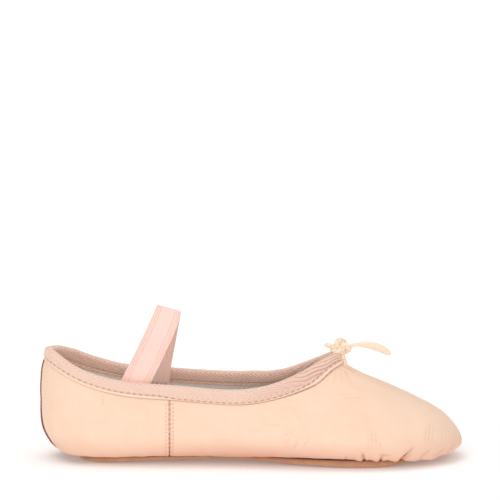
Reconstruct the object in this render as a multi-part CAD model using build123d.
from build123d import *
import os
import numpy as np

# A child's full-sole leather ballet slipper, standing on its sole.
# Millimetres. +X runs from heel to toe, +Z up, the wearer's right side is -Y.
# The origin is the middle of the footprint, on the floor.
#
# A place on the upper is given by three numbers:
#   around  position round the shoe: 0 heel centre, 10 toe centre, 20 heel again;
#           0 to 10 is the right side, 10 to 20 the left
#   up      distance up the upper, from the margin under the foot to the topline
#   depth   distance inward from the outside of the leather

os.makedirs("parts", exist_ok=True)

# ---------------------------------------------------------------- driving sizes
LENGTH = 190.0            # heel to toe, over the upper
HEEL_X = -LENGTH / 2 + 0.19   # x of the heel; turns "distance from the heel" into x
LEATHER = 0.90            # thickness of the upper leather
LINING_GAP = 0.18         # room between leather and lining
LINING = 0.50             # thickness of the cotton lining
SEAM_S = 58.0             # side seams, distance from the heel
FLEX_S = 117.5            # where the sole bends, distance from the heel
FLEX_SPREAD = 0.235       # half slope of the gap left at the bend (13.2 deg)
STITCH_R = 0.22           # thread radius

TOE = 10.0                # toe centre, in "around"
TURN = 20                 # one whole turn of the shoe, in "around"

# ------------------------------------------------------- shape of the upper
# Eight loops round the shoe, from the inner edge of the lasting margin under
# the foot up to the topline. Each has three rows: distance from the heel, half
# breadth and height, at eleven stations from heel centre to toe centre.
LOOPS = [
    [[17.0, 19.5, 28, 43.5, 66, 95, 120, 141, 157, 168, 171.5],
     [0, 4.6, 8.6, 9.8, 9.4, 10.6, 17, 18.6, 14.4, 7.4, 0],
     [2.15, 2.15, 2.2, 2.4, 2.9, 3.0, 2.4, 2.15, 2.15, 2.2, 2.25]],
    [[11, 13.8, 24, 42.2, 66, 95, 122, 146, 164.5, 175.8, 179.5],
     [0, 8.4, 14.0, 15.6, 15.2, 16.4, 23.2, 24.8, 20, 11, 0],
     [3.2, 3.1, 3.1, 3.3, 3.6, 3.7, 3.8, 3.7, 3.2, 2.9, 3.0]],
    [[4.3, 8.2, 21, 40.5, 65.5, 95, 123, 149, 170, 182.8, 186.8],
     [0, 12, 19, 21.2, 21.4, 23.0, 28.2, 29.4, 23.8, 13.3, 0],
     [6.6, 5.2, 4.2, 4.5, 4.7, 4.7, 5.2, 4.5, 3.0, 2.8, 3.3]],
    [[0.4, 4.9, 18, 39, 65.5, 95, 124, 151, 172, 185.3, 189.45],
     [0, 13.5, 21.3, 24.0, 24.6, 26.8, 31.0, 31.6, 25.6, 14.2, 0],
     [22, 19.5, 15.5, 13.5, 13, 12.5, 12, 11.5, 10.5, 9.8, 9.4]],
    [[0.15, 5.0, 18.2, 39, 65, 94, 121, 145.6, 164.2, 174.3, 177.2],
     [0, 12.9, 20.4, 23.4, 24.1, 26.0, 29.2, 27.0, 19.6, 10, 0],
     [34, 30, 25.5, 23, 22, 21.5, 21.8, 22.1, 22.2, 22.1, 21.9]],
    [[0.9, 6.0, 18.5, 38.5, 63.5, 91.5, 115.5, 136, 150, 157, 159.2],
     [0, 12.0, 19.3, 22.3, 22.9, 24.6, 24.6, 19.0, 11.8, 5.6, 0],
     [41.5, 38.0, 33, 29, 27.5, 26.2, 29.3, 32.0, 32.4, 32.2, 32.0]],
    [[1.7, 6.8, 18.6, 38, 62, 88.5, 110, 126, 135, 138.6, 139.6],
     [0, 11.3, 18.4, 21.2, 21.5, 22.9, 19.6, 12.0, 6.4, 3.0, 0],
     [44.8, 42.3, 37, 32.2, 30.2, 28.6, 31.6, 36.6, 39.8, 41, 41.3]],
    [[3.0, 7.8, 18.8, 37.5, 60.5, 86, 106, 121, 129.5, 133.6, 135],
     [0, 10.6, 17.3, 19.7, 19.6, 21.0, 16.8, 9.6, 5.2, 2.5, 0],
     [51, 48.6, 43.2, 38.5, 36.6, 34.9, 37.2, 42.6, 46.6, 48.2, 48.6]],
]


# ------------------------------------------------------------------ splines
# A "bend" is the second derivative of a cubic spline at one of its knots.
def cubic(lower, upper, bend_lower, bend_upper, part, gap):
    """Cubic spline between two knots `gap` apart, at the fraction `part`."""
    rest = 1 - part
    return (rest * lower + part * upper
            + ((rest**3 - rest) * bend_lower + (part**3 - part) * bend_upper) * gap * gap / 6)


def cyclic_bends(values):
    """Bends of a closed spline with knots one apart."""
    count = len(values)
    matrix = np.zeros((count, count))
    for i in range(count):
        matrix[i, i] = 4
        matrix[i, (i - 1) % count] += 1
        matrix[i, (i + 1) % count] += 1
    right = 6 * (np.roll(values, -1, 0) - 2 * values + np.roll(values, 1, 0))
    return np.linalg.solve(matrix, right)


def cyclic_value(values, bends, place):
    count = len(values)
    place = np.mod(place, count)
    i = np.floor(place).astype(int)
    part = (place - i)[..., None]
    j = (i + 1) % count
    i = i % count
    return cubic(values[i], values[j], bends[i], bends[j], part, 1.0)


def natural_bends(knots, values):
    """Bends of an open spline with free ends; values may have more axes."""
    count = len(knots)
    matrix = np.zeros((count, count))
    right = np.zeros_like(values)
    matrix[0, 0] = 1
    matrix[-1, -1] = 1
    for i in range(1, count - 1):
        before = knots[i] - knots[i - 1]
        after = knots[i + 1] - knots[i]
        matrix[i, i - 1] = before / 6
        matrix[i, i] = (before + after) / 3
        matrix[i, i + 1] = after / 6
        right[i] = ((values[i + 1] - values[i]) / after
                    - (values[i] - values[i - 1]) / before)
    return np.linalg.solve(matrix, right.reshape(count, -1)).reshape(values.shape)


def interval(knots, place):
    """Index of the knot below each place."""
    return np.clip(np.searchsorted(knots, place, side="right") - 1, 0, len(knots) - 2)


def smooth(knots, values, place):
    """Open spline through a table, held level beyond its ends."""
    knots = np.asarray(knots, float)
    values = np.asarray(values, float)
    bends = natural_bends(knots, values)
    place = np.clip(np.asarray(place, float), knots[0], knots[-1])
    i = interval(knots, place)
    gap = knots[i + 1] - knots[i]
    return cubic(values[i], values[i + 1], bends[i], bends[i + 1],
                 (place - knots[i]) / gap, gap)


# -------------------------------------------------------- surface of the upper
def closed_loop(loop):
    """Twenty points round the shoe: right side heel to toe, then the left back."""
    right = np.array(loop, float).T
    right[:, 1] *= -1
    left = right[1:10][::-1].copy()
    left[:, 1] *= -1
    return np.vstack([right, left])


def loop_heights():
    """Each loop's "up": the mean distance between loops, added up."""
    heights = [0.0]
    for lower, upper in zip(LOOP_POINTS, LOOP_POINTS[1:]):
        steps = np.linalg.norm((upper - lower)[2:8], axis=1)
        heights.append(heights[-1] + float(np.mean(steps)))
    return np.array(heights)


LOOP_POINTS = [closed_loop(loop) for loop in LOOPS]
LOOP_BENDS = [cyclic_bends(points) for points in LOOP_POINTS]
LOOP_UP = loop_heights()
MARGIN_UP, SOLE_UP, TURN_UP, _, _, STRAP_UP, TAPE_UP, TOPLINE_UP = LOOP_UP
RAW_EDGE_UP = TOPLINE_UP - 3.0    # leather and lining stop inside the topline tape


def base(around, up):
    """Point on the outside of the upper, its first number counted from the heel."""
    around, up = np.broadcast_arrays(np.asarray(around, float), np.asarray(up, float))
    points = np.stack([cyclic_value(loop, bends, around)
                       for loop, bends in zip(LOOP_POINTS, LOOP_BENDS)])
    bends = natural_bends(LOOP_UP, points)
    i = interval(LOOP_UP, up)
    gap = LOOP_UP[i + 1] - LOOP_UP[i]
    part = ((up - LOOP_UP[i]) / gap)[..., None]

    def pick(table, index):
        return np.take_along_axis(table, index[None, ..., None], axis=0)[0]

    return cubic(pick(points, i), pick(points, i + 1), pick(bends, i), pick(bends, i + 1),
                 part, gap[..., None])


def normal(around, up, step=1e-3):
    """Unit vector pointing out of the shoe."""
    along = base(around + step, up) - base(around - step, up)
    rise = base(around, up + step * 5) - base(around, up - step * 5)
    out = np.cross(along, rise)
    return out / (np.linalg.norm(out, axis=-1, keepdims=True) + 1e-12)


def surf(around, up, depth):
    """Point of the upper in the frame of the shoe."""
    around, up, depth = np.broadcast_arrays(
        np.asarray(around, float), np.asarray(up, float), np.asarray(depth, float))
    points = base(around, up) - normal(around, up) * depth[..., None]
    points[..., 0] += HEEL_X
    return points


# --------------------------------------------------------------- side limits
# A limit is a function that gives "around" for each "up".
def bisect(offset, low, high):
    """Where offset crosses from negative to positive."""
    for _ in range(40):
        middle = (low + high) / 2
        past = offset(middle) > 0
        high = np.where(past, middle, high)
        low = np.where(past, low, middle)
    return (low + high) / 2


def where_on_upper(offset, up, low, high):
    """Where offset(point of the upper) crosses zero, for each up."""
    return bisect(lambda around: offset(base(around, up)), low, high)


def at(around):
    return lambda up: np.full(up.shape, around)


def seam(shift):
    """The right side seam, moved toward the toe by shift."""
    return lambda up: where_on_upper(lambda p: p[..., 0] - (SEAM_S + shift), up, 1.5, 6.5)


def bend_edge(toward_toe, low, high):
    """Right edge of the gap at the bend: toward_toe is 1 ahead of it, -1 behind."""
    def offset(p):
        return p[..., 0] - (FLEX_S + toward_toe * (1.0 + FLEX_SPREAD * p[..., 2]))
    return lambda up: where_on_upper(offset, up, low, high)


def mirrored(limit):
    return lambda up: TURN - limit(up)


# ----------------------------------------------------------- solid builders
def face_of(points):
    rows = [[Vector(*map(float, point)) for point in row] for row in points]
    return Face.make_surface_from_array_of_points(rows, tol=0.01, min_deg=3, max_deg=5)


def slab(first, second):
    """Solid between two grids of points of the same shape."""
    first_face, second_face = face_of(first), face_of(second)
    second_edges = list(second_face.edges())
    sides = []
    for edge in first_face.edges():
        middle = edge.position_at(0.5)
        near = min(second_edges, key=lambda other: (other.position_at(0.5) - middle).length)
        sides.append(Face.make_surface_from_curves(edge, near))
    faces = [first_face, second_face] + sides
    body = Solid(Shell(faces))
    if body.volume < 0:
        body = Solid(Shell([-face for face in faces]))
    return body.fix() if not body.is_valid else body


def wall(start, end, depths, columns):
    """Patch of the upper from the margin to the raw edge, between two limits."""
    up = np.linspace(MARGIN_UP, RAW_EDGE_UP, 25)
    part = np.linspace(0, 1, columns)[:, None]
    around = start(up)[None, :] * (1 - part) + end(up)[None, :] * part
    return slab(*(surf(around, up[None, :], depth) for depth in depths))


def tube(points, radius, frenet=False):
    path = Edge.make_spline([Vector(*map(float, point)) for point in points])
    start = Plane(origin=path.position_at(0), z_dir=path.tangent_at(0))
    ring = Wire([Edge.make_circle(radius, start)])
    return Solid.sweep(Face(ring), path=path, is_frenet=frenet)


def solids_of(shape):
    if isinstance(shape, Solid):
        return [shape]
    if isinstance(shape, (list, tuple, ShapeList)):
        return [solid for one in shape for solid in solids_of(one)]
    return list(shape.solids())


def save(name, shape):
    solids = [solid for solid in solids_of(shape) if solid.volume > 1e-4]
    piece = solids[0] if len(solids) == 1 else Compound(children=solids)
    piece.label = name
    export_step(piece, f"parts/{name}.step")


def save_wall_pair(name, start, end, depths, columns):
    """A patch on the right side and its mirror image on the left."""
    save(f"{name}_right", wall(start, end, depths, columns))
    save(f"{name}_left", wall(mirrored(end), mirrored(start), depths, columns))


# ------------------------------------------------------- upper and its lining
LEATHER_DEPTHS = (0.0, LEATHER)
LINING_OUT = LEATHER + LINING_GAP
LINING_IN = LINING_OUT + LINING
LINING_DEPTHS = (LINING_OUT, LINING_IN)
WING_DEPTHS = (LINING_OUT + 0.37, LINING_IN + 0.15)
SEAM_GAP = 0.12           # leather stops this far from the seam line, on each side
LINING_SEAM_GAP = 0.20    # and so does the lining


def upper_leather():
    save("vamp", wall(seam(SEAM_GAP), mirrored(seam(SEAM_GAP)), LEATHER_DEPTHS, 85))
    save_wall_pair("quarter", at(0.008), seam(-SEAM_GAP), LEATHER_DEPTHS, 35)


def cotton_lining():
    save_wall_pair("quarter_lining", at(0.01), seam(-LINING_SEAM_GAP), LINING_DEPTHS, 35)
    save_wall_pair("vamp_lining_wing", seam(LINING_SEAM_GAP), bend_edge(-1, 3.0, 8.0),
                   WING_DEPTHS, 39)
    ahead_of_bend = bend_edge(1, 5.0, 9.7)
    save("vamp_lining_toe", wall(ahead_of_bend, mirrored(ahead_of_bend), LINING_DEPTHS, 61))


# ------------------------------------------------------------ topline binding
# The tape folds over the raw edge and makes the channel of the drawstring.
# (depth, up) of its outer and inner skins, from the outside over to the inside.
TAPE_OUTER = [
    (-0.72, TAPE_UP), (-0.76, TAPE_UP + 1.5), (-0.90, TOPLINE_UP - 3.2),
    (-0.88, TOPLINE_UP - 1.7), (-0.50, TOPLINE_UP - 0.6), (0.20, TOPLINE_UP - 0.06),
    (0.85, TOPLINE_UP + 0.05), (1.50, TOPLINE_UP - 0.06), (2.20, TOPLINE_UP - 0.6),
    (2.68, TOPLINE_UP - 1.7), (2.70, TOPLINE_UP - 3.2), (2.42, TAPE_UP + 1.8),
    (2.38, TAPE_UP + 0.6)]
TAPE_INNER = [
    (-0.22, TAPE_UP), (-0.26, TAPE_UP + 1.5), (-0.38, TOPLINE_UP - 3.2),
    (-0.36, TOPLINE_UP - 1.7), (-0.06, TOPLINE_UP - 0.95), (0.36, TOPLINE_UP - 0.6),
    (0.85, TOPLINE_UP - 0.5), (1.34, TOPLINE_UP - 0.6), (1.80, TOPLINE_UP - 0.95),
    (2.16, TOPLINE_UP - 1.7), (2.18, TOPLINE_UP - 3.2), (1.90, TAPE_UP + 1.8),
    (1.86, TAPE_UP + 0.6)]


def tape_skin(profile):
    depth, up = np.array(profile).T
    around = np.linspace(0.010, 19.990, 121)
    return surf(around[:, None], up[None, :], depth[None, :])


def topline_binding():
    save("topline_binding", slab(tape_skin(TAPE_OUTER), tape_skin(TAPE_INNER)))


# ------------------------------------------------------------ drawstring
CORD_R = 0.72
CORD_DROP = 1.62          # centre of the cord below the topline
CORD_DEPTH = 0.88
CORD_START = 0.30         # the cord starts and ends this far from the toe centre
KNOT_R = 2.55             # body of the knot
WRAP_R = 1.0              # turn of cord round the knot
STEM_R = 0.8              # the two cords running from the knot toward the heel
TAIL_R = 1.15             # loose ends of the drawstring

# Points from the centre of the knot; side is -1 or 1.
STEM = [(-0.9, 0.8, -0.8), (-2.3, 1.9, -1.2), (-3.7, 3.0, -1.6), (-4.9, 3.9, -2.2)]
# For each loose end: its root from the centre of the knot, its points from the
# root, and its radius.
TAILS = {
    "long": ((3.75, -0.3, 0.3),
             [(0, 0, 0), (4.2, -0.5, 0.9), (9.0, -0.9, 0.4), (13.0, -1.2, -1.0),
              (16.6, -1.4, -3.2)], TAIL_R),
    "short": ((-3.2, -3.1, 1.9),
              [(0, 0, 0), (-1.6, -1.0, 0.5), (-3.4, -1.8, 0.3), (-5.2, -2.3, -0.5)],
              TAIL_R * 0.9),
}


def drawstring_cord():
    around = np.linspace(TOE + CORD_START, TOE + TURN - CORD_START, 31)
    path = surf(around, TOPLINE_UP - CORD_DROP, CORD_DEPTH)
    save("drawstring_cord", tube(path, CORD_R, frenet=True))


def knot_centre():
    """Just above and ahead of the throat, where the topline meets the centre line."""
    throat = surf(np.array([TOE]), TOPLINE_UP, 0.0)[0]
    return np.array([throat[0] + 1.2, 0.0, throat[2] + 3.4])


def drawstring_knot(centre):
    body = Solid.make_sphere(KNOT_R).moved(Location(Vector(*map(float, centre))))
    turn = [centre + np.array([2.4 * np.cos(a) - 0.3, 2.9 * np.sin(a), 0.9 * np.sin(a + 0.6)])
            for a in np.linspace(0.25, 2 * np.pi - 0.25, 13)]
    body = body.fuse(tube(turn, WRAP_R))
    for side in (-1, 1):
        body = body.fuse(tube(centre + np.array(STEM) * [1, side, 1], STEM_R))
    save("drawstring_knot", body)


def drawstring_tails(centre):
    for name, (root, points, radius) in TAILS.items():
        path = centre + np.array(root) + np.array(points)
        save(f"drawstring_tail_{name}", tube(path, radius))


# ------------------------------------------------------------ sole and insole
INSOLE = 1.20             # insole board thickness
SOCK = 0.45               # sock lining thickness
SOCK_GAP = 0.05           # between the insole and the sock lining
SOLE_GAP = 0.38           # between the outsole and the margin above it
INSOLE_GAP = 0.45         # between the lined margin and the insole above it
BEND_GAP = 0.28           # each half stops this far from the bend, at the floor
# "around" where each half ends, and its side of the bend (1 toward the toe)
SOLE_HALVES = {"heelpart": (0.62, -1), "forepart": (9.42, 1)}

# Height of the underside of the upper along the centre line.
CENTRE_S = [24, 40, 60, 80, 95, 110, 125, 140, 155, 166]
CENTRE_Z = [2.0, 2.15, 2.6, 2.8, 2.75, 2.3, 1.95, 1.8, 1.8, 1.95]

# Underside of the outsole: height on the centre line, and rise at the half breadth.
BOTTOM_S = [4, 11, 20, 30, 48, 66, 82, 95, 106, 116, 128, 150, 164, 172, 180, 187]
BOTTOM_Z = [1.5, 0.75, 0.02, -0.12, -0.02, 0.5, 0.9, 0.9, 0.5, 0.05, -0.12, -0.12, -0.06,
            0.2, 0.95, 1.9]
BOTTOM_RISE = [1.0, 0.9, 0.75, 0.7, 0.8, 0.95, 1.0, 1.0, 0.95, 0.75, 0.62, 0.62, 0.62,
               0.6, 0.5, 0.4]
BREADTH_S = [4, 11, 24, 42, 66, 95, 122, 146, 164, 176, 187]
HALF_BREADTH = [9, 10.5, 14, 15.6, 15.2, 16.4, 23.2, 24.8, 20, 14, 12]


class Plate:
    """Thin-plate surface z(x, y) through scattered points."""

    SCALE = 50

    def __init__(self, points, heights):
        self.points = np.asarray(points, float) / self.SCALE
        count = len(heights)
        linear = np.hstack([np.ones((count, 1)), self.points])
        matrix = np.zeros((count + 3, count + 3))
        matrix[:count, :count] = self.kernel(self.points, self.points) + np.eye(count) * 1e-6
        matrix[:count, count:] = linear
        matrix[count:, :count] = linear.T
        self.weights = np.linalg.solve(matrix, np.concatenate([heights, [0, 0, 0]]))

    @staticmethod
    def kernel(first, second):
        square = ((first[:, None, :] - second[None, :, :]) ** 2).sum(-1)
        return 0.5 * square * np.log(square + 1e-12)

    def __call__(self, x, y):
        places = np.stack([np.ravel(x), np.ravel(y)], 1) / self.SCALE
        linear = np.hstack([np.ones((len(places), 1)), places])
        heights = (self.kernel(places, self.points) @ self.weights[:-3]
                   + linear @ self.weights[-3:])
        return heights.reshape(np.shape(x))


def margin_plate(ups, depth, step, centre_lift):
    """Surface through rings of the margin and the lifted centre line."""
    around = np.arange(0, TURN, step)
    rings = [surf(around, up, depth) for up in ups]
    centre = [[s + HEEL_X, 0.0, z + centre_lift] for s, z in zip(CENTRE_S, CENTRE_Z)]
    points = np.vstack(rings + [centre])
    return Plate(points[:, :2], points[:, 2])


MARGIN_RINGS = (MARGIN_UP, (MARGIN_UP + SOLE_UP) / 2, SOLE_UP)
under_margin = margin_plate(MARGIN_RINGS, 0.0, 1.0, 0.0)
over_margin = margin_plate(MARGIN_RINGS + (SOLE_UP + 0.6 * (TURN_UP - SOLE_UP),),
                           LINING_IN, 0.5, LINING_IN + 0.05)


def sole_top(x, y):
    return under_margin(x, y) - SOLE_GAP


def sole_bottom(x, y):
    s = x - HEEL_X
    across = np.abs(y) / smooth(BREADTH_S, HALF_BREADTH, s)
    return smooth(BOTTOM_S, BOTTOM_Z, s) + smooth(BOTTOM_S, BOTTOM_RISE, s) * across ** 4


def level(lift):
    """Height surface above the underside of the insole."""
    return lambda x, y: over_margin(x, y) + INSOLE_GAP + lift


def outline(depth, inset):
    """Right outline of a sole layer in plan, inset from the upper at SOLE_UP."""
    def point(around):
        here, ahead, behind = surf(around + np.array([0, 0.01, -0.01]), SOLE_UP, depth)
        along = ahead - behind
        outward = np.array([along[1], -along[0]])
        outward /= np.linalg.norm(outward)
        return here[:2] - outward * inset
    return point


def half_sheet(z_low, z_high, side_point, end, toward_toe):
    """Solid between two height surfaces, from one end of the sole to the bend."""
    cut_x = FLEX_S + HEEL_X + toward_toe * BEND_GAP
    slope = toward_toe * FLEX_SPREAD

    def grid(height, rows, columns):
        # the cut leans, so its place and its height are found in turns
        cut = 5.9
        for _ in range(4):
            x = side_point(cut)[0]
            z = float(height(np.array([x]), np.array([0.0]))[0])
            target = cut_x + slope * z
            cut = bisect(lambda around: side_point(around)[0] - target, 4.0, 7.5)
        lines = []
        for around in np.linspace(end, cut, rows):
            side = side_point(around)
            y = np.linspace(-1, 1, columns) * abs(side[1])
            x = np.full(columns, side[0])
            lines.append(np.stack([x, y, height(x, y)], -1))
        return np.array(lines)

    # the surface fit can overshoot on some grids, so the first sound one is taken
    for rows, columns in ((41, 21), (33, 21), (37, 21), (45, 21), (49, 25), (29, 17), (57, 21)):
        low, high = grid(z_low, rows, columns), grid(z_high, rows, columns)
        body = slab(low, high)
        box = body.bounding_box()
        within = box.min.Z > low[..., 2].min() - 0.1 and box.max.Z < high[..., 2].max() + 0.1
        if within and body.is_valid:
            return body
    raise RuntimeError("the sole surfaces could not be fitted")


def soles():
    above_floor = Solid.make_box(300, 100, 40, Plane(origin=(-150, -50, 0)))
    sock_low = INSOLE + SOCK_GAP
    for half, ends in SOLE_HALVES.items():
        outsole = half_sheet(sole_bottom, sole_top, outline(0.0, 0.05), *ends)
        save(f"outsole_{half}", outsole & above_floor)
        save(f"insole_{half}",
             half_sheet(level(0.0), level(INSOLE), outline(LINING_IN, 1.25), *ends))
        save(f"sock_lining_{half}",
             half_sheet(level(sock_low), level(sock_low + SOCK), outline(LINING_IN, 1.45),
                        *ends))


# ------------------------------------------------------------ elastic strap
STRAP = 1.00              # thickness of the band over the foot
STRAP_END_OUT = 2.95      # depths of the two faces of the sewn ends
STRAP_END_IN = 3.85
# Rear and front edges of the band, from the right side over to the left:
# distance from the heel, y, z.
STRAP_REAR = np.array([
    [36.9, -17.0, 40.0], [42.4, -15.5, 51.0], [48.4, -9.7, 63.0], [52.0, 0, 69.6],
    [50.9, 9.7, 63.4], [48.6, 15.3, 51.3], [46.6, 16.7, 39.6]])
STRAP_FRONT = np.array([
    [49.9, -17.0, 39.0], [55.6, -15.6, 50.2], [61.0, -10.0, 60.6], [63.3, 0, 66.6],
    [62.8, 9.9, 60.8], [60.9, 15.5, 50.2], [58.9, 16.7, 39.2]])
# Rear and front of each sewn end, distance from the heel.
STRAP_ENDS = {"right": (36.2, 48.6), "left": (46.4, 58.6)}


def strap_edge(points):
    knots = np.arange(len(points), dtype=float)
    places = np.linspace(0, len(points) - 1, 41)
    return np.stack([smooth(knots, column, places) for column in points.T], -1)


def elastic_strap():
    rear, front = strap_edge(STRAP_REAR)[:, None, :], strap_edge(STRAP_FRONT)[:, None, :]
    part = np.linspace(0, 1, 7)[None, :, None]
    middle = rear * (1 - part) + front * part
    across = (front - rear) * np.ones_like(part)
    out = np.cross(np.gradient(middle, axis=0), across)
    out /= np.linalg.norm(out, axis=-1, keepdims=True)
    middle = middle + [HEEL_X, 0, 0]
    save("elastic_strap", slab(middle + out * STRAP / 2, middle - out * STRAP / 2))


def around_at(s, side):
    """Position round the topline at a distance from the heel."""
    found = float(where_on_upper(lambda p: p[..., 0] - s, np.array([TOPLINE_UP - 2]),
                                 1.5, 6.5)[0])
    return found if side == "right" else TURN - found


def strap_ends():
    """Sewn ends, lying on the inside of the topline."""
    up = np.linspace(STRAP_UP - 1.0, TOPLINE_UP - 0.4, 9)[None, :]
    for side, (rear, front) in STRAP_ENDS.items():
        around = np.linspace(around_at(rear, side), around_at(front, side), 7)[:, None]
        save(f"strap_end_{side}",
             slab(surf(around, up, STRAP_END_OUT), surf(around, up, STRAP_END_IN)))


# ------------------------------------------------------------ stitches
def bead(start, end):
    start, end = Vector(*map(float, start)), Vector(*map(float, end))
    along = end - start
    return Solid.make_cylinder(STITCH_R, along.length, Plane(origin=start, z_dir=along))


def stitch_run(around, up, depth, length, pitch):
    """Short beads of thread along a line on the upper, pitch at least as given."""
    points = surf(around, up, depth)
    lengths = np.linalg.norm(np.diff(points, axis=0), axis=1)
    distance = np.concatenate([[0], np.cumsum(lengths)])

    def point_at(place):
        return [np.interp(place, distance, points[:, axis]) for axis in range(3)]

    count = max(1, int(distance[-1] // pitch))
    step = distance[-1] / count
    centres = [(i + 0.5) * step for i in range(count)]
    return [bead(point_at(centre - length / 2), point_at(centre + length / 2))
            for centre in centres]


def side_seam_stitches():
    """Two rows on each side, one behind the seam and one ahead of it."""
    up = np.linspace(SOLE_UP + 2.5, TAPE_UP - 1.2, 60)
    for side, place in (("right", seam), ("left", lambda shift: mirrored(seam(shift)))):
        beads = []
        for shift in (-1.6, 1.6):
            beads += stitch_run(place(shift)(up), up, -(STITCH_R + 0.22),
                                length=2.4, pitch=3.6)
        save(f"stitches_side_seam_{side}", beads)


def back_seam_stitches():
    up = np.linspace(TURN_UP + 1.0, TAPE_UP - 1.2, 60)
    save("stitches_back_seam",
         stitch_run(0.0, up, -(STITCH_R + 0.14), length=1.7, pitch=2.6))


def binding_stitches():
    around = np.linspace(0.06, 19.94, 700)
    save("stitches_binding",
         stitch_run(around, TAPE_UP + 1.5, -(0.80 + STITCH_R + 0.14), length=2.0, pitch=3.1))


def strap_stitches():
    """Two rows across each sewn end."""
    inset = 1.2
    beads = []
    for side, (rear, front) in STRAP_ENDS.items():
        around = np.linspace(around_at(rear + inset, side), around_at(front - inset, side), 30)
        for up in (STRAP_UP + 0.6, TAPE_UP - 0.6):
            beads += stitch_run(around, up, STRAP_END_IN + STITCH_R + 0.12,
                                length=1.8, pitch=2.7)
    save("stitches_strap", beads)


# ------------------------------------------------------------ all the pieces
upper_leather()
cotton_lining()
topline_binding()
drawstring_cord()
drawstring_knot(knot_centre())
drawstring_tails(knot_centre())
soles()
elastic_strap()
strap_ends()
side_seam_stitches()
back_seam_stitches()
binding_stitches()
strap_stitches()
